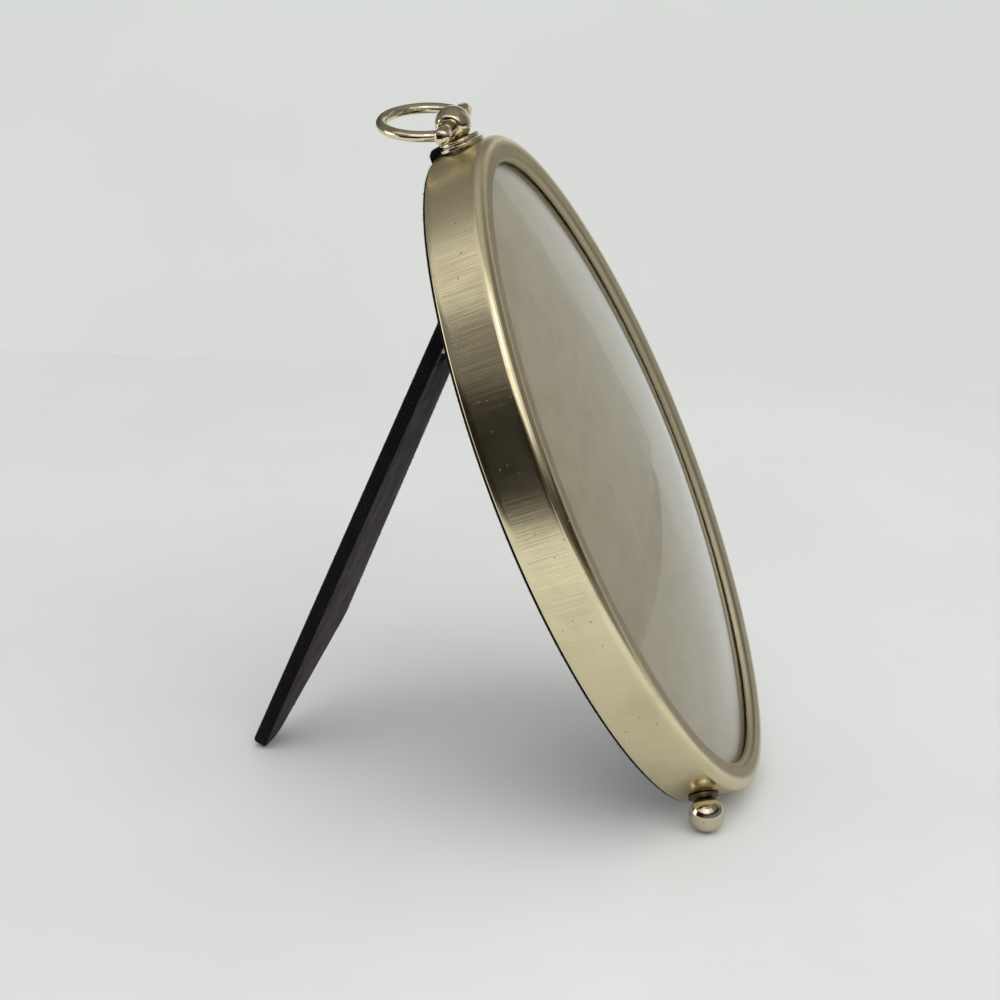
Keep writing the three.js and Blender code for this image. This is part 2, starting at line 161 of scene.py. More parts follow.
# a turned shape about +Y from (radius, height) pairs; a zero radius closes it with a point
def turned(profile, sides=48):
    points, faces, rings = [], [], []
    for radius, height in profile:
        if radius < 1e-6:
            rings.append([len(points)])
            points.append(Vector((0, height, 0)))
        else:
            rings.append(list(range(len(points), len(points) + sides)))
            for i in range(sides):
                a = 2 * pi * i / sides
                points.append(Vector((radius * cos(a), height, radius * sin(a))))
    for low, high in zip(rings, rings[1:]):
        for i in range(sides):
            j = (i + 1) % sides
            if len(low) == 1 and len(high) > 1:
                faces.append((low[0], high[j], high[i]))
            elif len(high) == 1 and len(low) > 1:
                faces.append((low[i], low[j], high[0]))
            elif len(low) > 1 and len(high) > 1:
                faces.append((low[i], low[j], high[j], high[i]))
    return points, faces


# a flat plate from an outline function of the inset, with its edges rounded over
def roundedPlate(outline, rear, front, edge):
    rows = []
    for inset, height in (arcPoints((edge, rear + edge), edge, 270, 180, 3)
                          + arcPoints((edge, front - edge), edge, 180, 90, 3)):
        rows.append([(p[0], p[1], height) for p in outline(inset)])
    return skin(rows, capStart=True, capEnd=True)


# node helpers
def setValues(node, values):
    for key, value in values.items():
        node.inputs[key].default_value = value


def addNode(tree, kind, settings=None, **values):
    node = tree.nodes.new("ShaderNode" + kind)
    for key, value in (settings or {}).items():
        setattr(node, key, value)
    setValues(node, values)
    return node


# joins a socket to the target, or sets a plain value there
def join(tree, value, target):
    if isinstance(value, bpy.types.NodeSocket):
        tree.links.new(value, target)
    else:
        target.default_value = value


def calcNode(tree, kind, operation, *values):
    node = addNode(tree, kind, {"operation": operation})
    for value, target in zip(values, node.inputs):
        join(tree, value, target)
    return node


def mathNode(tree, operation, *values):
    return calcNode(tree, "Math", operation, *values).outputs[0]


def vectorNode(tree, operation, *values):
    return calcNode(tree, "VectorMath", operation, *values)


def times(tree, first, second):
    return mathNode(tree, "MULTIPLY", first, second)


def plus(tree, first, second):
    return mathNode(tree, "ADD", first, second)


def spread(tree, value, low, high, toLow=0.0, toHigh=1.0):
    node = addNode(tree, "MapRange", {"interpolation_type": "SMOOTHSTEP"})
    setValues(node, {"From Min": low, "From Max": high, "To Min": toLow, "To Max": toHigh})
    join(tree, value, node.inputs["Value"])
    return node.outputs["Result"]


def colourMix(tree, share, first, second):
    node = addNode(tree, "Mix", {"data_type": "RGBA"})
    for socket, value in ((0, share), (6, first), (7, second)):
        join(tree, value, node.inputs[socket])
    return node.outputs[2]


# the sockets of a group are numbers, apart from a place
def newGroup(name, inputs, outputs):
    group = bpy.data.node_groups.new(name, "ShaderNodeTree")
    for way, labels in (("INPUT", inputs), ("OUTPUT", outputs)):
        for label in labels:
            kind = "NodeSocketVector" if label == "Place" else "NodeSocketFloat"
            group.interface.new_socket(label, in_out=way, socket_type=kind)
    return group, group.nodes.new("NodeGroupInput"), group.nodes.new("NodeGroupOutput")


def useGroup(tree, group, **values):
    node = addNode(tree, "Group", {"node_tree": group})
    for key, value in values.items():
        join(tree, value, node.inputs[key])
    return node.outputs


def scaledPlace(tree, vector, scale):
    return vectorNode(tree, "MULTIPLY", vector, scale).outputs[0]


def scaledBy(tree, vector, amount):
    node = vectorNode(tree, "SCALE", vector)
    join(tree, amount, node.inputs["Scale"])
    return node.outputs[0]


def mappedPlace(tree, vector, rotation, scale):
    node = addNode(tree, "Mapping", Rotation=rotation, Scale=scale)
    join(tree, vector, node.inputs["Vector"])
    return node.outputs[0]


def markAt(tree, name):
    return addNode(tree, "Attribute", {"attribute_name": name}).outputs["Fac"]


def noiseAt(tree, vector, scale, detail=3.0, roughness=0.55):
    node = addNode(tree, "TexNoise", Scale=scale, Detail=detail, Roughness=roughness)
    join(tree, vector, node.inputs["Vector"])
    return node.outputs["Fac"]


def mixShaders(tree, share, first, second):
    node = addNode(tree, "MixShader")
    for source, target in zip((share, first, second), node.inputs):
        join(tree, source, target)
    return node.outputs[0]


# scattered dots: the distance to the dot of each cell, whether the cell is kept, and a tone of its own
def scatterDots(tree, spot, scale, keptAbove):
    cells = addNode(tree, "TexVoronoi", {"feature": "F1"}, Scale=scale)
    join(tree, spot, cells.inputs["Vector"])
    tone = addNode(tree, "SeparateColor")
    join(tree, cells.outputs["Color"], tone.inputs[0])
    chosen = mathNode(tree, "GREATER_THAN", tone.outputs[0], keptAbove)
    return cells.outputs["Distance"], chosen, tone.outputs[1]


# place in the oval's own millimetres: across, up and out of the picture
def makeOvalPlace():
    group, _, end = newGroup("ovalPlace", (), ("Place",))
    where = addNode(group, "TexCoord").outputs["Object"]
    shifted = vectorNode(group, "SUBTRACT", where, place["middle"]).outputs[0]
    rotation = (radians(place["lean"] - 90), 0, 0)
    join(group, mappedPlace(group, shifted, rotation, (1000, 1000, 1000)), end.inputs["Place"])
    return group


ovalPlace = makeOvalPlace()


# handling marks for metal: hair scratches, small dark pits and cloudy tarnish
def makeMetalWear():
    group, start, end = newGroup("metalWear", ("Place", "Scratches", "Pits", "Clouds"),
                                 ("Scratch", "Pit", "Cloud"))
    spot = start.outputs["Place"]
    lines = []
    for turnBy, stretch in ((0.5, 0.035), (-0.9, 0.05), (2.2, 0.04)):
        laid = mappedPlace(group, spot, (turnBy * 0.4, turnBy * 0.7, turnBy), (1.3, stretch, 1.3))
        hair = noiseAt(group, laid, 1.6, 1.0, 0.4)
        near = mathNode(group, "ABSOLUTE", mathNode(group, "SUBTRACT", hair, 0.5))
        lines.append(spread(group, near, 0.0, 0.006, 1.0, 0.0))
    patch = spread(group, noiseAt(group, spot, 0.16, 2.0), 0.52, 0.66)
    strongest = mathNode(group, "MAXIMUM", mathNode(group, "MAXIMUM", lines[0], lines[1]), lines[2])
    scratch = times(group, strongest, patch)
    join(group, times(group, scratch, start.outputs["Scratches"]), end.inputs["Scratch"])
    away, chosen, tone = scatterDots(group, spot, 0.7, 0.72)
    dot = mathNode(group, "LESS_THAN", away, plus(group, times(group, tone, 0.10), 0.05))
    pit = times(group, dot, chosen)
    join(group, times(group, pit, start.outputs["Pits"]), end.inputs["Pit"])
    cloud = spread(group, noiseAt(group, spot, 0.09, 5.0, 0.6), 0.42, 0.68)
    join(group, times(group, cloud, start.outputs["Clouds"]), end.inputs["Cloud"])
    return group


metalWear = makeMetalWear()


# fibres of paper and board: short strands, soft mottle and dark specks
def makePaperFibre():
    group, start, end = newGroup("paperFibre", ("Place", "Fineness"), ("Mottle", "Fibre", "Speck"))
    spot = scaledBy(group, start.outputs["Place"], start.outputs["Fineness"])
    join(group, noiseAt(group, spot, 0.12, 4.0, 0.6), end.inputs["Mottle"])
    bend = addNode(group, "TexNoise", Scale=0.5, Detail=2.0)
    join(group, spot, bend.inputs["Vector"])
    push = vectorNode(group, "MULTIPLY_ADD", bend.outputs["Color"], (2.5, 2.5, 2.5), spot)
    strand = noiseAt(group, scaledPlace(group, push.outputs[0], (3.5, 0.9, 3.5)), 1.0, 3.0)
    join(group, strand, end.inputs["Fibre"])
    away, chosen, _ = scatterDots(group, spot, 0.55, 0.84)
    join(group, times(group, spread(group, away, 0.05, 0.12, 1.0, 0.0), chosen), end.inputs["Speck"])
    return group


paperFibre = makePaperFibre()


def newMaterial(name):
    material = bpy.data.materials.new(name)
    material.use_nodes = True
    tree = material.node_tree
    return material, tree, tree.nodes["Principled BSDF"]


def wireUp(tree, shader, colour, rough):
    join(tree, colour, shader.inputs["Base Color"])
    join(tree, rough, shader.inputs["Roughness"])


def addBump(tree, shader, height, strength, distance):
    bump = addNode(tree, "Bump", Strength=strength, Distance=distance)
    join(tree, height, bump.inputs["Height"])
    join(tree, bump.outputs[0], shader.inputs["Normal"])


def objectPlace(tree, scale=1000):
    where = addNode(tree, "TexCoord")
    return scaledPlace(tree, where.outputs["Object"], (scale, scale, scale))


# rim brass: satin brushed straight across the band, rubbed smooth towards its ends,
# bright on the shoulder, and on the lip rougher and painted darker as shade
rimLook = {"colour": (0.86, 0.76, 0.50, 1), "dull": (0.66, 0.56, 0.35, 1),
           "lipShadeColour": (0.45, 0.395, 0.265, 1), "pitColour": (0.10, 0.07, 0.035, 1),
           "edgeRoughness": 0.15, "bandRoughness": 0.18, "lipRoughness": 0.44, "topRoughness": 0.12,
           "fineStroke": (6.5, 6.5, 0.08), "broadStroke": (1.5, 1.5, 0.12), "fineShare": 0.9,
           "strokeDepth": 0.000006, "rubbedFoot": (-32, 14, 0.13, 1.0),
           "rubbedTop": (52, 66, 1.0, 0.3)}  # both: two heights, and the share of the strokes kept at each


def rimBrassMaterial():
    material, tree, shader = newMaterial("rimBrass")
    spot = useGroup(tree, ovalPlace)["Place"]
    band, lip = markAt(tree, "bandShare"), markAt(tree, "lipShare")
    height = addNode(tree, "SeparateXYZ")
    join(tree, spot, height.inputs[0])
    up = height.outputs["Y"]
    fine = noiseAt(tree, scaledPlace(tree, spot, rimLook["fineStroke"]), 1.0, 0.0, 0.5)
    broad = noiseAt(tree, scaledPlace(tree, spot, rimLook["broadStroke"]), 1.0, 2.0, 0.6)
    stroke = plus(tree, times(tree, fine, rimLook["fineShare"]), times(tree, broad, 1 - rimLook["fineShare"]))
    kept = times(tree, band, spread(tree, up, *rimLook["rubbedFoot"]))
    kept = times(tree, kept, spread(tree, up, *rimLook["rubbedTop"]))
    stroke = times(tree, mathNode(tree, "SUBTRACT", stroke, 0.5), kept)
    wear = useGroup(tree, metalWear, Place=spot, Scratches=0.7, Pits=0.5, Clouds=0.35)
    colour = colourMix(tree, wear["Cloud"], rimLook["colour"], rimLook["dull"])
    # the lip's colour is painted darker than the band's brass: painted shade
    colour = colourMix(tree, lip, colour, rimLook["lipShadeColour"])
    tint = spread(tree, stroke, -0.2, 0.2, 0.82, 1.12)
    colour = colourMix(tree, wear["Pit"], scaledBy(tree, colour, tint), rimLook["pitColour"])
    rough = spread(tree, band, 0.0, 1.0, rimLook["edgeRoughness"], rimLook["bandRoughness"])
    for share, more in ((lip, rimLook["lipRoughness"] - rimLook["edgeRoughness"]),
                        (wear["Cloud"], 0.08), (wear["Pit"], 0.4)):
        rough = plus(tree, rough, times(tree, share, more))
    rough = plus(tree, rough, spread(tree, up, 46, 70, 0.0, rimLook["topRoughness"]))
    wireUp(tree, shader, colour, rough)
    setValues(shader, {"Metallic": 1.0, "Anisotropic": 0.4})
    tangent = addNode(tree, "Tangent", {"direction_type": "UV_MAP", "uv_map": "bandMap"})
    join(tree, tangent.outputs[0], shader.inputs["Tangent"])
    dents = plus(tree, stroke, times(tree, wear["Pit"], -1.5))
    dents = plus(tree, dents, times(tree, wear["Scratch"], 0.5))
    addBump(tree, shader, dents, 1.0, rimLook["strokeDepth"])
    return material


# turned fittings, polished, and the same brass painted dark on the washers of the feet as shade under the
# band
polishLook = {"name": "polishedBrass", "colour": (0.77, 0.68, 0.49, 1), "dull": (0.65, 0.56, 0.38, 1),
              "roughness": 0.10}
shadeBrassLook = {"name": "shadedBrass", "colour": (0.16, 0.125, 0.075, 1), "dull": (0.10, 0.075, 0.045, 1),
            "roughness": 0.28}


def turnedBrassMaterial(look):
    material, tree, shader = newMaterial(look["name"])
    spot = objectPlace(tree)
    wear = useGroup(tree, metalWear, Place=spot, Scratches=0.6, Pits=0.35, Clouds=0.6)
    colour = colourMix(tree, wear["Cloud"], look["colour"], look["dull"])
    colour = colourMix(tree, wear["Pit"], colour, rimLook["pitColour"])
    ripple = noiseAt(tree, spot, 1.1, 2.0)
    rough = plus(tree, times(tree, wear["Cloud"], 0.10), look["roughness"])
    wireUp(tree, shader, colour, plus(tree, rough, times(tree, wear["Scratch"], 0.12)))
    setValues(shader, {"Metallic": 1.0})
    height = plus(tree, ripple, times(tree, wear["Scratch"], -0.15))
    addBump(tree, shader, height, 0.5, 0.000012)
    return material


# plated steel of the hinge, eyes, rivets and nuts
steelLook = {"colour": (0.50, 0.49, 0.47, 1), "dull": (0.30, 0.27, 0.23, 1), "rust": (0.09, 0.055, 0.03, 1),
             "roughness": 0.24}


def steelMaterial():
    material, tree, shader = newMaterial("platedSteel")
    spot = objectPlace(tree)
    wear = useGroup(tree, metalWear, Place=spot, Scratches=1.0, Pits=1.0, Clouds=1.0)
    grain = noiseAt(tree, scaledPlace(tree, spot, (0.4, 6.0, 6.0)), 1.0, 3.0)
    colour = colourMix(tree, wear["Cloud"], steelLook["colour"], steelLook["dull"])
    colour = colourMix(tree, wear["Pit"], colour, steelLook["rust"])
    wireUp(tree, shader, colour, plus(tree, times(tree, grain, 0.22), steelLook["roughness"]))
    setValues(shader, {"Metallic": 1.0})
    addBump(tree, shader, grain, 0.6, 0.000012)
    return material


# clear glass with a faint grey-green body and settled dust
glassLook = {"colour": (0.97, 0.985, 0.97, 1), "dust": (0.80, 0.78, 0.74, 1)}


def clearGlassMaterial():
    material, tree, shader = newMaterial("clearGlass")
    spot = useGroup(tree, ovalPlace)["Place"]
    away, chosen, _ = scatterDots(tree, spot, 0.36, 0.86)
    dust = times(tree, spread(tree, away, 0.03, 0.07, 1.0, 0.0), chosen)
    smear = noiseAt(tree, spot, 0.05, 4.0, 0.6)
    rough = plus(tree, spread(tree, smear, 0.35, 0.75, 0.015, 0.06), times(tree, dust, 0.5))
    wireUp(tree, shader, colourMix(tree, dust, glassLook["colour"], glassLook["dust"]), rough)
    setValues(shader, {"Transmission Weight": 1.0, "IOR": 1.5})
    addBump(tree, shader, noiseAt(tree, spot, 0.03, 1.0), 0.25, 0.00006)
    return material


# blank card, a little yellowed, with one soft fold whose line is painted darker as shade
cardLook = {"colour": (0.48, 0.41, 0.285, 1), "aged": (0.43, 0.355, 0.235, 1), "speck": (0.29, 0.23, 0.15, 1)}


def paleCardMaterial():
    material, tree, shader = newMaterial("paleCard")
    spot = useGroup(tree, ovalPlace)["Place"]
    paper = useGroup(tree, paperFibre, Place=spot, Fineness=1.0)
    aged = spread(tree, paper["Mottle"], 0.35, 0.7)
    colour = colourMix(tree, aged, cardLook["colour"], cardLook["aged"])
    colour = colourMix(tree, times(tree, paper["Speck"], 0.5), colour, cardLook["speck"])
    fold = markAt(tree, "foldAndShadeShare")
    # the fold's line is mixed towards the speck colour: painted shade in the crease
    colour = colourMix(tree, times(tree, fold, 0.35), colour, cardLook["speck"])
    wireUp(tree, shader, colour, spread(tree, paper["Fibre"], 0.2, 0.8, 0.72, 0.9))
    height = plus(tree, paper["Fibre"], times(tree, fold, -2.0))
    addBump(tree, shader, height, 0.5, 0.00002)
    return material


# filler board: grey-brown chip board
boardLook = {"colour": (0.30, 0.235, 0.155, 1), "pale": (0.40, 0.33, 0.24, 1), "speck": (0.11, 0.08, 0.05, 1)}


def greyBoardMaterial():
    material, tree, shader = newMaterial("fillerBoard")
    paper = useGroup(tree, paperFibre, Place=objectPlace(tree), Fineness=1.5)
    strands = spread(tree, paper["Fibre"], 0.35, 0.7)
    colour = colourMix(tree, strands, boardLook["colour"], boardLook["pale"])
    colour = colourMix(tree, paper["Speck"], colour, boardLook["speck"])
    wireUp(tree, shader, colour, spread(tree, paper["Mottle"], 0.3, 0.7, 0.82, 0.95))
    addBump(tree, shader, paper["Fibre"], 0.8, 0.00005)
    return material


# brown lining paper on the leg's inner face, rubbed along its length
liningLook = {"colour": (0.037, 0.0255, 0.0250, 1), "rubbed": (0.078, 0.059, 0.056, 1),
              "speck": (0.100, 0.052, 0.050, 1)}


def brownLiningMaterial():
    material, tree, shader = newMaterial("brownLining")
    spot = objectPlace(tree)
    paper = useGroup(tree, paperFibre, Place=spot, Fineness=1.6)
    rub = noiseAt(tree, scaledPlace(tree, spot, (1.6, 0.16, 0.16)), 1.0, 5.0, 0.7)
    colour = colourMix(tree, spread(tree, rub, 0.36, 0.66), liningLook["colour"], liningLook["rubbed"])
    colour = colourMix(tree, times(tree, paper["Speck"], 0.35), colour, liningLook["speck"])
    wireUp(tree, shader, colour, spread(tree, paper["Mottle"], 0.3, 0.7, 0.7, 0.92))
    setValues(shader, {"Specular IOR Level": 0.22})
    addBump(tree, shader, paper["Fibre"], 0.8, 0.00004)
    return material


# black velvet: deep pile with brushed patches and a soft bloom at grazing angles
velvetLook = {"deep": (0.0018, 0.0018, 0.0022, 1), "tips": (0.0230, 0.0225, 0.0250, 1), "sheen": 0.08,
              "sheenTint": (0.62, 0.62, 0.68, 1)}


def blackVelvetMaterial():
    material, tree, shader = newMaterial("blackVelvet")
    spot = objectPlace(tree)
    nap = noiseAt(tree, spot, 0.14, 4.0, 0.6)
    tuft = noiseAt(tree, spot, 2.4, 2.0, 0.7)
    mix = times(tree, spread(tree, nap, 0.35, 0.7, 0.35, 1.0), spread(tree, tuft, 0.46, 0.72))
    colour = colourMix(tree, mix, velvetLook["deep"], velvetLook["tips"])
    wireUp(tree, shader, colour, spread(tree, tuft, 0.2, 0.8, 1.0, 0.86))
    setValues(shader, {"Specular IOR Level": 0.12, "Sheen Weight": velvetLook["sheen"],
                       "Sheen Roughness": 0.45, "Sheen Tint": velvetLook["sheenTint"]})
    addBump(tree, shader, tuft, 1.0, 0.00012)
    return material


# one finish for each material slot; the brass painted dark as shade shares the slot of the polished
finishes = {"rim_brass": rimBrassMaterial(), "polished_brass": turnedBrassMaterial(polishLook),
            "steel": steelMaterial(), "clear_glass": clearGlassMaterial(), "pale_card": paleCardMaterial(),
            "grey_board": greyBoardMaterial(), "brown_lining": brownLiningMaterial(),
            "black_velvet": blackVelvetMaterial()}
shadedBrass = turnedBrassMaterial(shadeBrassLook)
print("materials ready")

# oval rim: one bent sheet with a rounded rear edge, a flat band, a round shoulder
# and a lip rolled over to the glass
rim = {"depth": 13.3, "sheet": 0.8, "lip": 6.1, "shoulder": 2.0, "rearEdge": 0.4, "roll": 1.5,
       "bandFrom": 1.6, "bandTo": 11.2, "dullShadeFrom": 1.6, "dullShadeOver": 1.2, "dullShadeAbove": 11.0,
       "bandRings": (1.5, 1.8, 2.8, 4.4, 6.2, 8.0, 9.6, 10.6), "mapTurns": 30, "mapRise": 13}


def rimSection():
    top = rim["depth"]
    points = arcPoints((rim["rearEdge"], rim["rearEdge"]), rim["rearEdge"], 270, 180, 6)
    points += [(0.0, h) for h in rim["bandRings"]]
    points += arcPoints((rim["shoulder"], top - rim["shoulder"]), rim["shoulder"], 180, 90, 18)
    roll = (rim["lip"] - rim["roll"], top - rim["roll"])
    points += [(2.9, top), (3.8, top)]
    points += arcPoints(roll, rim["roll"], 90, 4, 16)
    points += arcPoints((rim["lip"] - 0.2, roll[1] + 0.06), 0.2, -20, -90, 3)
    points += [(roll[0] + rim["roll"] - rim["sheet"] + 0.1, roll[1] - 0.14)]
    points += arcPoints(roll, rim["roll"] - rim["sheet"], 0, 90, 6)
    points += arcPoints((rim["shoulder"], top - rim["shoulder"]), rim["shoulder"] - rim["sheet"], 90, 180, 6)
    points += [(rim["sheet"], 8.0), (rim["sheet"], 4.0), (rim["sheet"], 0.12), (0.7, 0.0)]
    return points


def makeRim():
    section = rimSection()
    rows = [[(p.x, p.y, height) for p in ovalLoop(inset, oval["steps"])] for inset, height in section]
    piece = meshPiece("ovalRim", *skin(rows, closeRows=True), ovalToRow, 60)
    # the satin band and the lip, rougher and painted darker as shade, are marked on the points; a map runs
    # round the oval and up the section
    onBand, onLip = [], []
    for inset, height in section:
        onBand.append(1.0 if inset < 0.9 and rim["bandFrom"] < height < rim["bandTo"] else 0.0)
        dullAndShaded = max(0.0, min(1.0, (inset - rim["dullShadeFrom"]) / rim["dullShadeOver"]))
        onLip.append(dullAndShaded if height > rim["dullShadeAbove"] else 0.0)
    for name, shares in (("bandShare", onBand), ("lipShare", onLip)):
        markPoints(piece, name, [share for share in shares for _ in range(oval["steps"])])
    bandMap = piece.data.uv_layers.new(name="bandMap")
    toOval = ovalToRow.inverted()
    for poly in piece.data.polygons:
        corners = [toOval @ piece.data.vertices[v].co for v in poly.vertices]
        angles = [atan2(c.y / oval["halfHeight"], c.x / oval["halfWidth"]) for c in corners]
        turns = [a / (2 * pi) for a in angles]
        if max(turns) - min(turns) > 0.5:
            turns = [t + 1 if t < 0 else t for t in turns]
        for loop, turn, c in zip(poly.loop_indices, turns, corners):
            bandMap.data[loop].uv = (turn * rim["mapTurns"], c.z / rim["mapRise"])
    return finishPiece(piece, "rim_brass", "frame", "rim_shell")


ovalRim = makeRim()
print("rim made:", len(ovalRim.data.polygons), "faces")

# domed glass under the lip
glass = {"inset": 4.3, "seat": 9.3, "thickness": 1.8, "crown": 6.5, "rings": 22, "steps": 192}


def domeHeight(share):
    return glass["crown"] * (1 - share * share)


def makeGlass():
    edge = ovalLoop(glass["inset"], glass["steps"])
    rings = [(i / glass["rings"], 0.0) for i in range(1, glass["rings"] + 1)]
    rings += [(i / glass["rings"], glass["thickness"]) for i in range(glass["rings"], 0, -1)]
    rows = []
    for share, lift in rings:
        height = glass["seat"] + domeHeight(share) + lift
        rows.append([(p.x * share, p.y * share, height) for p in edge])
    points, faces = skin(rows)
    rear, front = len(points), len(points) + 1
    peak = glass["seat"] + glass["crown"]
    points += [(0, 0, peak), (0, 0, peak + glass["thickness"])]
    base = (len(rows) - 1) * glass["steps"]
    for i in range(glass["steps"]):
        j = (i + 1) % glass["steps"]
        faces.append((rear, j, i))
        faces.append((front, base + i, base + j))
    addPiece("convexGlass", (points, faces), ovalToRow, 40, "clear_glass", "frame", "convex_glass")


makeGlass()

# blank card behind the glass, with a short V-shaped fold to the right of its middle
card = {"inset": 4.8, "rear": 8.6, "front": 9.2, "rings": 40, "steps": 160,
        "fold": [((9.0, -20.0), (15.0, -24.0)), ((15.0, -24.0), (18.0, -18.0))], "foldWidth": 0.5}


def foldDistance(point, start, end):
    a, b = Vector(start), Vector(end)
    along = max(0.0, min(1.0, (point - a).dot(b - a) / (b - a).length_squared))
    return (point - a - (b - a) * along).length


def makeCard():
    edge = ovalLoop(card["inset"], card["steps"])
    rows = [[(p.x * 0.999, p.y * 0.999, card["rear"]) for p in edge]]
    for i in range(card["rings"], 0, -1):
        share = i / card["rings"]
        rows.append([(p.x * share, p.y * share, card["front"]) for p in edge])
    points, faces = skin(rows, capStart=True)
    points.append((0, 0, card["front"]))
    base = (len(rows) - 1) * card["steps"]
    for i in range(card["steps"]):
        faces.append((base + i, base + (i + 1) % card["steps"], len(points) - 1))
    piece = meshPiece("pictureCard", points, faces, ovalToRow, 40)
    values = []
    for p in points:
        off = min(foldDistance(Vector(p[:2]), a, b) for a, b in card["fold"])
        values.append(max(0.0, 1 - off / card["foldWidth"]) if p[2] > card["rear"] else 0.0)
    markPoints(piece, "foldAndShadeShare", values)
    finishPiece(piece, "pale_card", "frame", "picture_card")


makeCard()
print("glass and card made")

# velvet pile: each hair is a slim closed spike rooted in the cloth
pile = {"seed": 7, "length": 0.36, "width": 0.05, "lean": 0.65, "longest": 1.7}


def pileHairs(roots, rng, length, lay=(0, 0, 0)):
    points, faces = [], []
    for root, normal in roots:
        side = normal.orthogonal().normalized()
        other = normal.cross(side)
        turn = rng.uniform(0, 2 * pi)
        cosine, sine = cos(turn), sin(turn)
        side, other = side * cosine + other * sine, other * cosine - side * sine
        tip = normal + Vector(lay) + side * rng.uniform(0, pile["lean"])
        tip = root + tip.normalized() * length * (0.5 + (pile["longest"] - 0.5) * rng.random() ** 2)
        foot = root - normal * 0.05
        width = pile["width"] * rng.uniform(0.7, 1.2)
        base = len(points)
        points += [foot + side * width, foot + other * width * 0.9 - side * width * 0.5,
                   foot - other * width * 0.9 - side * width * 0.5, tip]
        faces += [(base, base + 1, base + 3), (base + 1, base + 2, base + 3),
                  (base + 2, base, base + 3), (base + 2, base + 1, base)]
    return points, faces


def scatterOnFaces(points, faces, rng, perArea, keep=None):
    roots = []
    for face in faces:
        corners = [Vector(points[i]) for i in face]
        for i in range(1, len(corners) - 1):
            a, b, c = corners[0], corners[i], corners[i + 1]
            cross = (b - a).cross(c - a)
            area = cross.length / 2
            if area < 1e-9:
                continue
            normal = cross.normalized()
            wanted = area * perArea
            count = int(wanted) + (1 if rng.random() < wanted - int(wanted) else 0)
            for _ in range(count):
                r, s = rng.random(), rng.random()
                if r + s > 1:
                    r, s = 1 - r, 1 - s
                spot = a + (b - a) * r + (c - a) * s
                if keep is None or keep(spot, normal):
                    roots.append((spot, normal))
    return roots


def outwardFaces(points, faces):
    mesh = bpy.data.meshes.new("measure")
    mesh.from_pydata([Vector(p) for p in points], [], faces)
    bm = bmesh.new()
    bm.from_mesh(mesh)
    bmesh.ops.recalc_face_normals(bm, faces=bm.faces)
    bmesh.ops.triangulate(bm, faces=[f for f in bm.faces if len(f.verts) > 4])
    bm.verts.index_update()
    result = [tuple(v.co) for v in bm.verts], [tuple(v.index for v in f.verts) for f in bm.faces]
    bm.free()
    bpy.data.meshes.remove(mesh)
    return result


# velvet over the back panel: a soft thin sheet whose cut edge shows behind the band
# no hairs grow under the hinge plate or the tab, nor where the eyes of the closed leg come to rest
backCloth = {"inset": 0.6, "rear": -0.7, "front": -0.1, "edge": 0.18, "steps": 200, "perArea": 1.6,
             "lay": (0, -0.35, 0), "edgeHairs": 5200, "edgeSwing": (-75, 5), "edgeInset": 0.16,
             "edgeDepth": -0.32, "edgeRound": 0.14,
             "hingeHalf": 9.7, "hingeFrom": 31.8, "hingeTo": 52.2, "tabHalf": 2.7, "tabFrom": 70.2}


def makeBackVelvet():
    rng = random.Random(pile["seed"])
    def outline(inset):
        return ovalLoop(backCloth["inset"] + inset, backCloth["steps"])
    cloth = roundedPlate(outline, backCloth["rear"], backCloth["front"], backCloth["edge"])
    piece = addPiece("backVelvet", cloth, ovalToRow, 50, "black_velvet", "frame", "back_velvet")
    flat = outwardFaces(*cloth)
    def clear(spot, normal):
        off = abs(spot.x)
        onHinge = off < backCloth["hingeHalf"] and backCloth["hingeFrom"] < spot.y < backCloth["hingeTo"]
        onTab = off < backCloth["tabHalf"] and spot.y > backCloth["tabFrom"]
        return normal.z < -0.6 and not onHinge and not onTab
    roots = scatterOnFaces(*flat, rng, backCloth["perArea"], clear)
    for _ in range(backCloth["edgeHairs"]):
        t = rng.uniform(0, 2 * pi)
        swing = radians(rng.uniform(*backCloth["edgeSwing"]))
        out = ovalOut(t)
        normal = Vector((out.x * cos(swing), out.y * cos(swing), sin(swing)))
        spot = ovalPoint(t, backCloth["inset"] + backCloth["edgeInset"])
        root = Vector((spot.x, spot.y, backCloth["edgeDepth"]))
        roots.append((root + normal * backCloth["edgeRound"], normal))
    hairs = pileHairs(roots, rng, pile["length"], backCloth["lay"])
    addPiece("backPile", hairs, ovalToRow, 180, "black_velvet", "frame")
    return piece


backVelvet = makeBackVelvet()

# pull tab of velvet, folded over the rear edge behind the bail
tab = {"halfWidth": 2.5, "perArea": 14.0, "hair": 0.30, "backTo": 76.8, "bandTo": 77.0}
tabProfile = [(-0.60, 70.7), (-0.60, 76.55), (-0.3, 76.6), (0.2, 76.6), (0.48, 76.65), (0.6, 76.85),
              (0.6, 77.7), (0.5, 78.0), (0.2, 78.1), (-0.2, 78.0), (-0.6, 77.6), (-0.9, 77.2),
              (-1.05, 76.7), (-1.05, 71.0), (-0.98, 70.7), (-0.8, 70.6)]  # depth and height


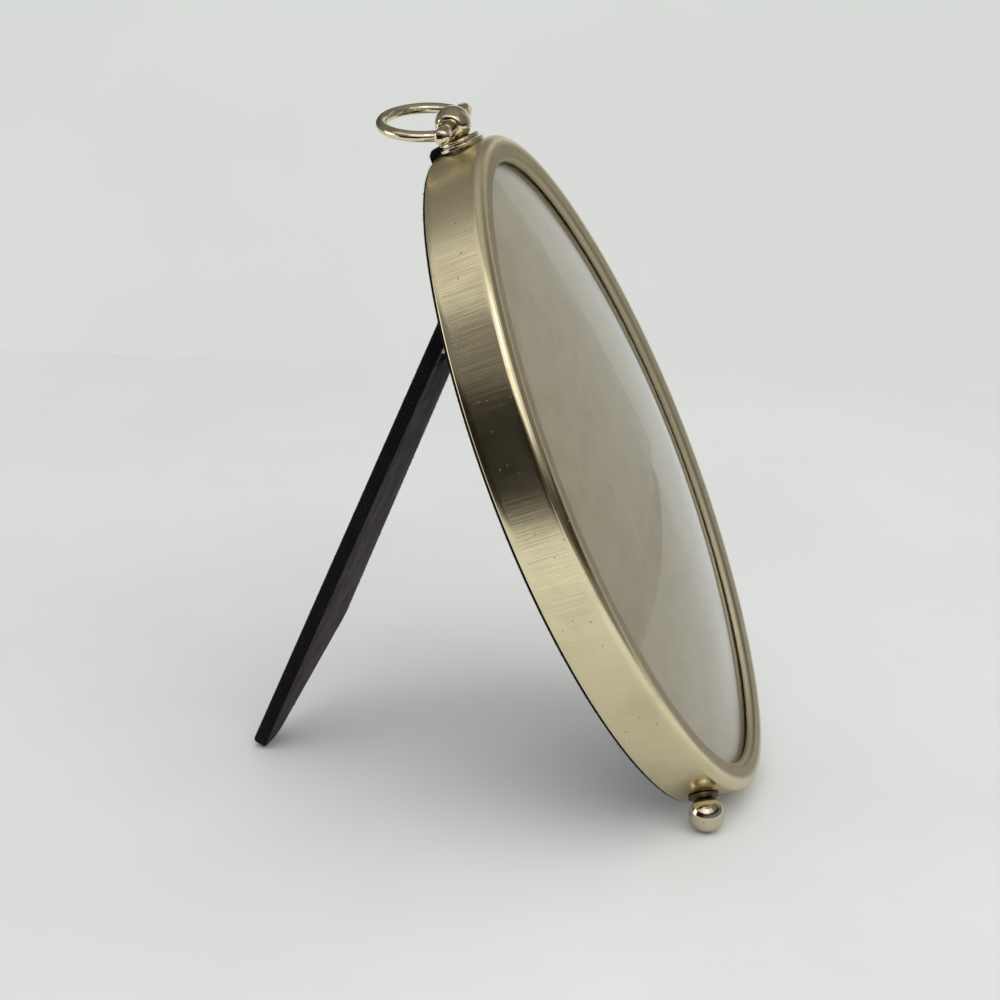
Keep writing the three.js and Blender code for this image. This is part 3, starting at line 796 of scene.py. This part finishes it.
def makeTab():
    rng = random.Random(pile["seed"] + 1)
    count = len(tabProfile)
    middle = Vector((sum(p[1] for p in tabProfile) / count, sum(p[0] for p in tabProfile) / count))
    rows = []
    for x, shrink in ((-1.0, 0.25), (-0.985, 0.10), (-0.94, 0.02), (-0.5, 0.0), (0.0, -0.01),
                      (0.5, 0.0), (0.94, 0.02), (0.985, 0.10), (1.0, 0.25)):
        row = []
        for depth, height in tabProfile:
            inner = Vector((height, depth))
            step = middle - inner
            step = step.normalized() * min(shrink, step.length * 0.5)
            row.append((x * tab["halfWidth"], inner.x + step.x * 0.6, inner.y + step.y * 0.6))
        rows.append(row)
    cloth = skin(rows, capStart=True, capEnd=True)
    addPiece("pullTab", cloth, ovalToRow, 60, "black_velvet", "frame", "back_tab")
    flat = outwardFaces(*cloth)
    def clear(spot, normal):
        onBack = spot.y < tab["backTo"] and normal.z > 0.3
        onBand = spot.y < tab["bandTo"] and spot.z > -0.6 and normal.y < -0.3
        return not onBack and not onBand
    hairs = pileHairs(scatterOnFaces(*flat, rng, tab["perArea"], clear), rng, tab["hair"])
    addPiece("tabPile", hairs, ovalToRow, 180, "black_velvet", "frame")


makeTab()
print("back velvet and tab made")

# folding leg: a velvet tray round a board, lined with brown paper, hung on the hinge axis
hinge = {"height": 49.3, "behind": -3.2, "open": 47.6, "knuckle": 1.7, "pin": 0.75}
leg = {"near": -10.0, "topFar": 9.5, "wide": 16.0, "wideAt": 97.0, "tipFar": -1.0, "corner": 2.5,
       "topGap": 2.3, "notchHalf": 6.0, "notchDepth": 18.5, "front": 1.4, "thickness": 2.75,
       "plush": 0.35, "wrap": 0.6, "lining": 0.35, "perArea": 2.6, "sideHairs": 16.0, "hair": 0.288,
       "lay": (0, -0.3, 0)}
hingeToRow = ovalToRow @ shift(0, hinge["height"], hinge["behind"])
legToRow = hingeToRow @ spin(hinge["open"], "X")


def legReach():
    # the tip's front edge stands on the floor
    top = hingeToRow @ Vector((0, 0, 0))
    tilt = radians(hinge["open"] - place["lean"])
    return (top.z * 1000 - leg["front"] * sin(tilt)) / cos(tilt)


def curveTo(start, control, end, count=6):
    a, b, c = Vector(start), Vector(control), Vector(end)
    shares = [i / count for i in range(1, count + 1)]
    return [a * (1 - t) ** 2 + b * 2 * t * (1 - t) + c * t * t for t in shares]


def legOutline(inset, reach):
    near, top, tip = leg["near"] + inset, -leg["topGap"] - inset, -reach + inset
    half, floor = leg["notchHalf"] + inset, -leg["notchDepth"] - inset
    corner, wideY = leg["corner"] - inset, -leg["wideAt"]
    wide, far, tipFar = leg["wide"] - inset, leg["topFar"] - inset, leg["tipFar"] - inset * 0.6
    path = [Vector((near, top))]
    def line(x, y, count):
        a, b = path[-1].copy(), Vector((x, y))
        path.extend(a.lerp(b, i / count) for i in range(1, count + 1))
    def bend(cx, cy, x, y):
        path.extend(curveTo(path[-1], (cx, cy), (x, y)))
    line(near, tip + corner, 36)
    bend(near, tip, near + corner, tip)
    line(tipFar - corner, tip, 2)
    bend(tipFar, tip, tipFar + corner * 0.7, tip + corner)
    line(wide - corner, wideY - corner * 1.2, 10)
    bend(wide, wideY, wide - 0.2, wideY + corner)
    line(far, top, 30)
    line(half, top, 2)
    line(half, floor, 6)
    line(-half, floor, 5)
    line(-half, top, 6)
    line(near + 0.01, top, 2)
    return path[:-1]


def makeLeg():
    rng = random.Random(pile["seed"] + 2)
    reach = legReach()
    front, rear = leg["front"], leg["front"] - leg["thickness"] - leg["plush"]
    floor = rear + leg["plush"] + leg["wrap"]
    section = [(0.62, floor), (0.62, front - 0.08), (0.5, front - 0.02), (0.34, front), (0.16, front - 0.07),
               (0.04, front - 0.22), (0.0, front - 0.45), (0.0, rear + 0.62), (0.05, rear + 0.34),
               (0.17, rear + 0.15), (0.34, rear + 0.04), (0.6, rear)]
    rows = [[(p.x, p.y, height) for p in legOutline(inset, reach)] for inset, height in section]
    cloth = skin(rows, capStart=True, capEnd=True)
    addPiece("legVelvet", cloth, legToRow, 50, "black_velvet", "leg", "leg_velvet")
    flat = outwardFaces(*cloth)
    def onRear(spot, normal):
        return normal.z < -0.8 and spot.z < rear + 0.02
    def onSide(spot, normal):
        inNotch = abs(spot.x) < leg["notchHalf"] + 0.2 and spot.y > -leg["notchDepth"] - 0.4
        upright = abs(normal.z) < 0.95 and spot.z > floor - 0.45
        return upright and spot.y > -reach + 0.9 and not inNotch
    roots = scatterOnFaces(*flat, rng, leg["perArea"], onRear)
    roots += [r for r in scatterOnFaces(*flat, rng, leg["sideHairs"], onSide) if r[0].z < front + 0.01]
    roots = [r for r in roots if not insideTray(r, front, rear)]
    hairs = pileHairs(roots, rng, leg["hair"], leg["lay"])
    addPiece("legPile", hairs, legToRow, 180, "black_velvet", "leg")
    def liningOutline(inset):
        return legOutline(leg["wrap"] + 0.1 + inset, reach)
    sheet = roundedPlate(liningOutline, front - leg["lining"], front, 0.1)
    addPiece("legLining", sheet, legToRow, 50, "brown_lining", "leg", "leg_lining")


# hairs inside the tray would only grow into the board
def insideTray(root, front, rear):
    spot, normal = root
    onWall = rear + leg["wrap"] - 0.02 < spot.z < front - 0.1 and abs(normal.z) < 0.2
    onNear = abs(spot.x - leg["near"] - 0.62) < 0.08 and normal.x > 0.5
    onFar = spot.x > leg["tipFar"] and normal.x < -0.2 and spot.y < -leg["notchDepth"] - 1
    return onWall and (onNear or onFar)


makeLeg()
print("leg made")


# turned shapes stand along +Y; these lay them along +X or +Z
alongX = spin(-90, "Z")
alongZ = spin(90, "X")


# a plain rod with its edges broken
def rod(along, radius, start, end, edge=0.08, sides=32):
    profile = [(0, start), (radius - edge, start), (radius, start + edge), (radius, end - edge),
               (radius - edge, end), (0, end)]
    return moved(turned(profile, sides), along)


def rivetHead(radius, seat, height, outward):
    # a low dome on a short rim; it rises towards outward from its seat
    profile = [(0, 0), (radius * 0.98, 0)]
    profile += arcPoints((0, height * 0.25), radius, 0, 90, 6, height * 0.75)
    return moved(turned(profile, 32), shift(0, 0, seat) @ spin(90 * outward, "X"))


def roundRect(x0, x1, y0, y1, radius):
    def outline(inset):
        r = max(radius - inset, 0.02)
        path = []
        for cx, cy, turn in ((x1 - inset - r, y1 - inset - r, 0), (x0 + inset + r, y1 - inset - r, 90),
                             (x0 + inset + r, y0 + inset + r, 180), (x1 - inset - r, y0 + inset + r, 270)):
            path += [Vector(p) for p in arcPoints((cx, cy), r, turn, turn + 90, 6)]
        return path
    return outline


# hinge on the back: plate, knuckle, pin and two rivets
plate = {"half": 6.0, "below": 17.0, "above": 2.5, "front": 2.6, "thickness": 0.7, "knuckle": 5.2,
         "rivetAcross": 3.2, "rivetBelow": 11.0, "head": 1.5, "headHeight": 0.45, "shank": 0.8,
         "shankTo": 4.2, "corner": 1.6, "pinHalf": 9.7}


def makeHinge():
    front = plate["front"]
    rear = front - plate["thickness"]
    outline = roundRect(-plate["half"], plate["half"], -plate["below"], plate["above"], plate["corner"])
    leaf = roundedPlate(outline, rear, front, 0.16)
    roll = rod(alongX, hinge["knuckle"], -plate["knuckle"], plate["knuckle"], 0.15, 40)
    web = roundedPlate(roundRect(-plate["knuckle"], plate["knuckle"], -1.1, 1.1, 0.15), 0.2, rear + 0.2, 0.05)
    addPiece("hingePlate", joined(leaf, roll, web), hingeToRow, 35, "steel", "frame", "hinge_plate")
    pin = rod(alongX, hinge["pin"], -plate["pinHalf"], plate["pinHalf"], 0.2)
    addPiece("hingePin", pin, hingeToRow, 35, "steel", "frame", "hinge_pin")
    for side, sign in (("left", -1), ("right", 1)):
        head = rivetHead(plate["head"], rear - 0.1, plate["headHeight"], -1)
        shank = rod(alongZ, plate["shank"], rear - 0.2, plate["shankTo"])
        at = shift(sign * plate["rivetAcross"], -plate["rivetBelow"], 0)
        rivet = moved(joined(head, shank), at)
        addPiece("hingeRivet" + side.capitalize(), rivet, hingeToRow, 50,
                 "steel", "frame", "hinge_rivet_" + side)


makeHinge()

# eyes of the leg: a rolled barrel, a strap on the lining and a heel that stops the leg
eye = {"offset": 7.75, "width": 3.1, "heel": 1.25, "reach": 15.0, "thickness": 0.5, "rivetAt": 11.0,
       "head": 1.3, "headHeight": 0.3, "shank": 0.7}


def makeEyes():
    half = eye["width"] / 2
    rear = leg["front"] + 0.1
    front = rear + eye["thickness"]
    for side, sign in (("left", -1), ("right", 1)):
        at = shift(sign * eye["offset"], 0, 0)
        barrel = rod(alongX, hinge["knuckle"], -half, half, 0.15, 40)
        strap = roundedPlate(roundRect(-half, half, -eye["reach"], eye["heel"], 0.5), rear, front, 0.1)
        shape = moved(joined(barrel, strap), at)
        addPiece("legEye" + side.capitalize(), shape, legToRow, 35, "steel", "leg", "leg_eye_" + side)
        head = rivetHead(eye["head"], front + 0.02, eye["headHeight"], 1)
        shank = rod(alongZ, eye["shank"], -0.4, front + 0.1)
        at = shift(sign * eye["offset"], -eye["rivetAt"], 0)
        rivet = moved(joined(head, shank), at)
        addPiece("legRivet" + side.capitalize(), rivet, legToRow, 50, "steel", "leg", "leg_rivet_" + side)


makeEyes()
print("hinge made")

# bail: two washers, a ball knob with flat sides, and the ring on its cross pin
bail = {"depth": 5.8, "stem": 1.5, "stemFrom": -3.7, "knob": 3.85, "knobUp": 5.15, "flat": 2.9, "tilt": 8.2,
        "wire": 1.2, "ring": 9.35, "ringOffset": 5.9, "rise": 0.9, "hub": 1.8, "hubInner": 3.15,
        "hubOuter": 9.8, "hubDome": 0.9, "pinHole": 0.85, "washerBore": 1.8}
bailWashers = {"lower": {"radius": 5.0, "thickness": 0.8, "up": 0.1, "edge": 0.26},
               "upper": {"radius": 4.4, "thickness": 1.0, "up": 1.0, "edge": 0.45}}
bailToRow = ovalToRow @ shift(0, oval["halfHeight"], bail["depth"])
knobTurn = shift(0, bail["knobUp"], 0) @ spin(bail["tilt"], "Z")  # the cross hole is out of true
ringToRow = bailToRow @ knobTurn @ spin(place["lean"] - 90 + bail["rise"], "X")


def washerProfile(washer):
    bore, radius, thickness, edge = bail["washerBore"], washer["radius"], washer["thickness"], washer["edge"]
    profile = [(bore, 0.04), (bore + 0.04, 0)]
    profile += arcPoints((radius - edge, edge), edge, 270, 360, 6)
    profile += arcPoints((radius - edge, thickness - edge), edge, 0, 90, 6)
    profile += [(bore + 0.04, thickness), (bore, thickness - 0.04), (bore, 0.04)]
    return profile


def makeWasher(name, node, washer, toRow, finish=None):
    shape = moved(turned(washerProfile(washer), 72), shift(0, washer["up"], 0))
    piece = meshPiece(name, *shape, toRow, 50, weld=True)
    finishPiece(piece, "polished_brass", "frame", node, finish=finish)


# the ball, drawn about the pin axis so that each flat side is a clean round face with a bored hole
def knobShape():
    r, flat, hole = bail["knob"], bail["flat"], bail["pinHole"]
    start = degrees(acos(flat / r))
    profile = [(hole, -flat + 0.08), (hole + 0.08, -flat)]
    rim = sqrt(r * r - flat * flat)
    profile += [(rim - 0.14, -flat), (rim - 0.04, -flat + 0.04)]
    profile += arcPoints((0, 0), r, start - 90, 90 - start, 28)[1:-1]
    profile += [(rim - 0.04, flat - 0.04), (rim - 0.14, flat), (hole + 0.08, flat), (hole, flat - 0.08)]
    profile.append(profile[0])
    return moved(turned(profile, 64), alongX)


# the lower part of a stud: a chamfered end under the band, and a plain shank up to a height
def studStart(radius, upTo):
    low = bail["stemFrom"]
    return [(0, low), (radius - 0.2, low), (radius, low + 0.2), (radius, upTo)]


def makeKnob():
    stem = studStart(bail["stem"], 1.9) + [(1.9, 2.1), (2.0, 2.3), (1.7, 2.6), (0, 2.7)]
    shape = joined(moved(knobShape(), knobTurn), turned(stem, 40))
    addPiece("bailKnob", shape, bailToRow, 40, "polished_brass", "frame", "bail_post")


def makeRing():
    endAngle = acos(bail["ringOffset"] / bail["ring"])
    count, sides = 110, 28
    rows = []
    for i in range(count + 1):
        a = endAngle - pi / 2 + (2 * pi - 2 * endAngle) * i / count
        centre = Vector((bail["ring"] * cos(a), bail["ringOffset"] + bail["ring"] * sin(a), 0))
        out = Vector((cos(a), sin(a), 0))
        rows.append([centre + (out * cos(b) + Vector((0, 0, 1)) * sin(b)) * bail["wire"]
                     for b in (2 * pi * k / sides for k in range(sides))])
    wire = skin(rows, capStart=True, capEnd=True)
    hubs = []
    hub, inner, outer, dome = bail["hub"], bail["hubInner"], bail["hubOuter"], bail["hubDome"]
    for sign in (-1, 1):
        profile = [(0, inner), (hub - 0.12, inner), (hub, inner + 0.12)]
        profile += arcPoints((0, outer - dome), hub, 0, 90, 8, dome)
        hubs.append(moved(turned(profile, 40), spin(-90 * sign, "Z")))
    addPiece("bailRing", joined(wire, *hubs), ringToRow, 50, "polished_brass", "bail", "bail_ring")


for level, washer in bailWashers.items():
    makeWasher("bailWasher" + level.capitalize(), "bail_washer_" + level, washer, bailToRow)
makeKnob()
makeRing()
print("bail made")

# two ball feet on studs, each with a thin washer
foot = {"across": 15.2, "ball": 3.9, "seat": 0.65, "seatCut": 0.25, "stem": 1.5}
footWasher = {"radius": 3.4, "thickness": 0.5, "up": 0.05, "edge": 0.18}


def footTurn():
    low, high = pi, 1.5 * pi
    for _ in range(40):
        middle = (low + high) / 2
        low, high = (middle, high) if ovalRaw(middle).x < -foot["across"] else (low, middle)
    return low


def makeFeet():
    leftTurn = footTurn()
    centre = foot["seat"] - foot["seatCut"] + foot["ball"]
    for side, t in (("left", leftTurn), ("right", 3 * pi - leftTurn)):
        spot, out = ovalRaw(t), ovalOut(t)
        toRow = (ovalToRow @ shift(spot.x, spot.y, bail["depth"])
                 @ Matrix.Rotation(atan2(out.y, out.x) - pi / 2, 4, "Z"))
        # the washers take the brass painted dark: painted shade under the band
        makeWasher("footWasher" + side.capitalize(), "foot_washer_" + side, footWasher, toRow, shadedBrass)
        first = degrees(acos(1 - foot["seatCut"] / foot["ball"]))
        profile = studStart(foot["stem"], foot["seat"] + 0.03)
        profile += arcPoints((0, centre), foot["ball"], first - 90, 90, 44)
        ball = turned(profile, 72)
        addPiece("ballFoot" + side.capitalize(), ball, toRow, 40,
                 "polished_brass", "frame", "foot_ball_" + side)


makeFeet()
print("feet made")

# solids that stay: only their finish changes
boards = ("back_board", "filler_board_rear", "filler_board_middle", "filler_board_front", "leg_board")
steels = ("bail_nut", "foot_nut_left", "foot_nut_right", "bail_pin")
for nodes, slotName in ((boards, "grey_board"), (steels, "steel")):
    for node in nodes:
        setFinish(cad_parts[node], finishes[slotName])

# stage: a pale table top that runs up into a pale wall behind
stage = {"tableColour": (0.70, 0.705, 0.695, 1), "wallColour": (0.705, 0.725, 0.70, 1), "tableHalf": 3.0,
         "wallAt": 0.315, "cove": 0.03, "wallHeight": 0.29, "wallHalf": 0.30, "wallTurn": -0.10,
         "wallUp": 0.0004, "paintedShadeAt": (-0.035, -0.045, 0), "paintedShadeReach": 0.14, "paintedShade": 0.30}
viewAlong = Vector((0.953, 0.303, 0)).normalized()
viewRight = Vector((0.303, -0.953, 0)).normalized()


def stageMaterial(name, colour, grainScale):
    material, tree, shader = newMaterial(name)
    where = objectPlace(tree, 1.0)
    cloud = noiseAt(tree, where, grainScale, 4.0, 0.6)
    darker = tuple(c * 0.965 for c in colour[:3]) + (1,)
    join(tree, colourMix(tree, spread(tree, cloud, 0.35, 0.65), colour, darker), shader.inputs["Base Color"])
    setValues(shader, {"Roughness": 0.55, "Specular IOR Level": 0.25})
    return material, tree, shader


def makeStage():
    table, tree, shader = stageMaterial("paleTable", stage["tableColour"], 9.0)
    # the metal sees the table a little darker beside the frame: painted shade, seen only in reflections
    ray = addNode(tree, "LightPath")
    away = vectorNode(tree, "DISTANCE", objectPlace(tree, 1.0), stage["paintedShadeAt"])
    near = spread(tree, away.outputs["Value"], 0.0, stage["paintedShadeReach"], stage["paintedShade"], 0.0)
    paintedShade = times(tree, near, ray.outputs["Is Glossy Ray"])
    bare = shader.inputs["Base Color"].links[0].from_socket
    join(tree, colourMix(tree, paintedShade, bare, (0, 0, 0, 1)), shader.inputs["Base Color"])
    half = stage["tableHalf"]
    corners = [(-half, -half, 0), (half, -half, 0), (half, half, 0), (-half, half, 0)]
    floor = stageSheet("tableTop", corners, [(0, 1, 2, 3)], table)
    makeWall()


def stageSheet(name, points, faces, material):
    mesh = bpy.data.meshes.new(name)
    mesh.from_pydata(points, [], faces)
    mesh.materials.append(material)
    return addObject(name, mesh)


def makeWall():
    wall, tree, shader = stageMaterial("paleWall", stage["wallColour"], 4.0)
    # the wall shows its own even colour; seen from behind it is left out so that it never hides the frame
    ray = addNode(tree, "LightPath")
    seen = mathNode(tree, "MAXIMUM", ray.outputs["Is Camera Ray"], ray.outputs["Is Glossy Ray"])
    seen = mathNode(tree, "MAXIMUM", seen, ray.outputs["Is Transmission Ray"])
    even = addNode(tree, "Emission", Strength=1.0)
    join(tree, shader.inputs["Base Color"].links[0].from_socket, even.inputs["Color"])
    shown = mixShaders(tree, seen, shader.outputs[0], even.outputs[0])
    behind = addNode(tree, "NewGeometry").outputs["Backfacing"]
    clear = addNode(tree, "BsdfTransparent").outputs[0]
    join(tree, mixShaders(tree, behind, shown, clear), tree.nodes["Material Output"].inputs["Surface"])
    profile = arcPoints((0, stage["cove"] + stage["wallUp"]), stage["cove"], -90, 0, 12)
    profile.append((stage["cove"], stage["wallHeight"]))
    points = []
    for off, height in profile:
        for side in (-stage["wallHalf"], stage["wallHalf"]):
            p = viewAlong * (stage["wallAt"] + off + side * stage["wallTurn"]) + viewRight * side
            points.append((p.x, p.y, height))
    faces = [(2 * i, 2 * i + 1, 2 * i + 3, 2 * i + 2) for i in range(len(profile) - 1)]
    sheet = stageSheet("wallSheet", points, faces, wall)
    sheet.data.shade_smooth()
    return sheet


makeStage()

# light: a pale room, a soft sheet of light overhead, and cards that only the metal and glass can see
light = {"room": (0.60, 0.61, 0.61, 1), "roomStrength": 1.15, "overhead": 18.0, "overheadSize": 1.8,
         "overheadAt": (-0.65, -0.6, 1.35), "cardsAbout": 0.072}


def makeWorld():
    world = bpy.data.worlds.new("paleRoom")
    scene.world = world
    world.use_nodes = True
    tree = world.node_tree
    background = tree.nodes["Background"]
    setValues(background, {"Color": light["room"], "Strength": light["roomStrength"]})
    # looked at directly, the room has the wall's colour
    plain = addNode(tree, "Background", Color=stage["wallColour"], Strength=1.0)
    seen = addNode(tree, "LightPath").outputs["Is Camera Ray"]
    mixed = mixShaders(tree, seen, background.outputs[0], plain.outputs[0])
    join(tree, mixed, tree.nodes["World Output"].inputs["Surface"])


def aimAt(thing, location, target):
    thing.location = location
    thing.rotation_euler = (Vector(target) - Vector(location)).to_track_quat("-Z", "Y").to_euler()


def makeOverhead():
    lamp = bpy.data.lights.new("overheadSheet", "AREA")
    lamp.shape = "SQUARE"
    lamp.size = light["overheadSize"]
    lamp.energy = light["overhead"]
    aimAt(addObject("overheadSheet", lamp), light["overheadAt"], (0, 0, 0))


def reflectionCard(name, azimuths, elevations, radius, colour, strength, endStrength=None):
    # part of a globe round the frame, seen only in reflections; azimuth 0 is the picture's side
    points, faces = [], []
    across, up = 24, 10
    for j in range(up + 1):
        e = radians(elevations[0] + (elevations[1] - elevations[0]) * j / up)
        for i in range(across + 1):
            a = radians(azimuths[0] + (azimuths[1] - azimuths[0]) * i / across)
            points.append((radius * cos(e) * sin(a), -radius * cos(e) * cos(a),
                           light["cardsAbout"] + radius * sin(e)))
    for j in range(up):
        for i in range(across):
            low = j * (across + 1) + i
            faces.append((low, low + 1, low + across + 2, low + across + 1))
    material, tree, shader = newMaterial(name)
    tree.nodes.remove(shader)
    glow = addNode(tree, "Emission", Color=colour)
    join(tree, markAt(tree, "glow"), glow.inputs["Strength"])
    join(tree, glow.outputs[0], tree.nodes["Material Output"].inputs["Surface"])
    card = stageSheet(name, points, faces, material)
    rise = (strength if endStrength is None else endStrength) - strength
    levels = [strength + rise * i / across for i in range(across + 1)]
    markPoints(card, "glow", levels * (up + 1))
    for unseen in ("camera", "diffuse", "transmission", "shadow", "volume_scatter"):
        setattr(card, "visible_" + unseen, False)


makeWorld()
makeOverhead()
white, cream, brown = (1.0, 1.0, 1.0, 1), (1.0, 0.98, 0.93, 1), (1.0, 0.82, 0.6, 1)
# spans of azimuth and elevation in degrees, radius, colour, and strength, or strength at both ends
reflections = {
    "dimRoom": ((-180, 180), (-8, 90), 0.95, cream, 0.18),
    "ceiling": ((-180, 180), (58, 89), 0.93, cream, 0.24),
    "windowLeft": ((-157, -112), (28, 56), 0.9, white, 0.72),
    "windowWide": ((-112, -22), (24, 56), 0.9, white, 0.72),
    "windowMiddle": ((-112, -52), (20, 56), 0.85, white, 1.15),
    "lamp": ((-78, -67), (39, 48), 0.8, (1.0, 1.0, 0.97, 1), 4.5),
    "darkLeft": ((-138, -88), (-12.8, 17), 0.25, brown, 0.012),
    "darkMiddle": ((-88, -56), (-4, 13), 0.25, brown, 0.05),
    "darkFront": ((-56, 24), (4, 18), 0.3, brown, 0.03),
    "brightBehindLeft": ((-147, -176), (-10, 18), 0.5, white, 1.8),
    "shadedRight": ((24, 67), (-3, 58), 0.29, (1.0, 0.98, 0.92, 1), 0.12, 0.47),
    "shadedBehind": ((118, 158), (9, 40), 0.28, (1.0, 0.94, 0.86, 1), 0.10)}
for name, settings in reflections.items():
    reflectionCard(name, *settings)
print("stage and light ready")

# camera at the photograph's viewing angle
view = {"at": (-0.47310, -0.14918, 0.24479), "towards": (-0.00005, 0.00115, 0.06422), "lens": 86.4,
        "sensor": 36, "nearest": 0.01}
camera = addObject("camera", bpy.data.cameras.new("camera"))
camera.data.lens = view["lens"]
camera.data.sensor_width = view["sensor"]
camera.data.clip_start = view["nearest"]
aimAt(camera, view["at"], view["towards"])
scene.camera = camera
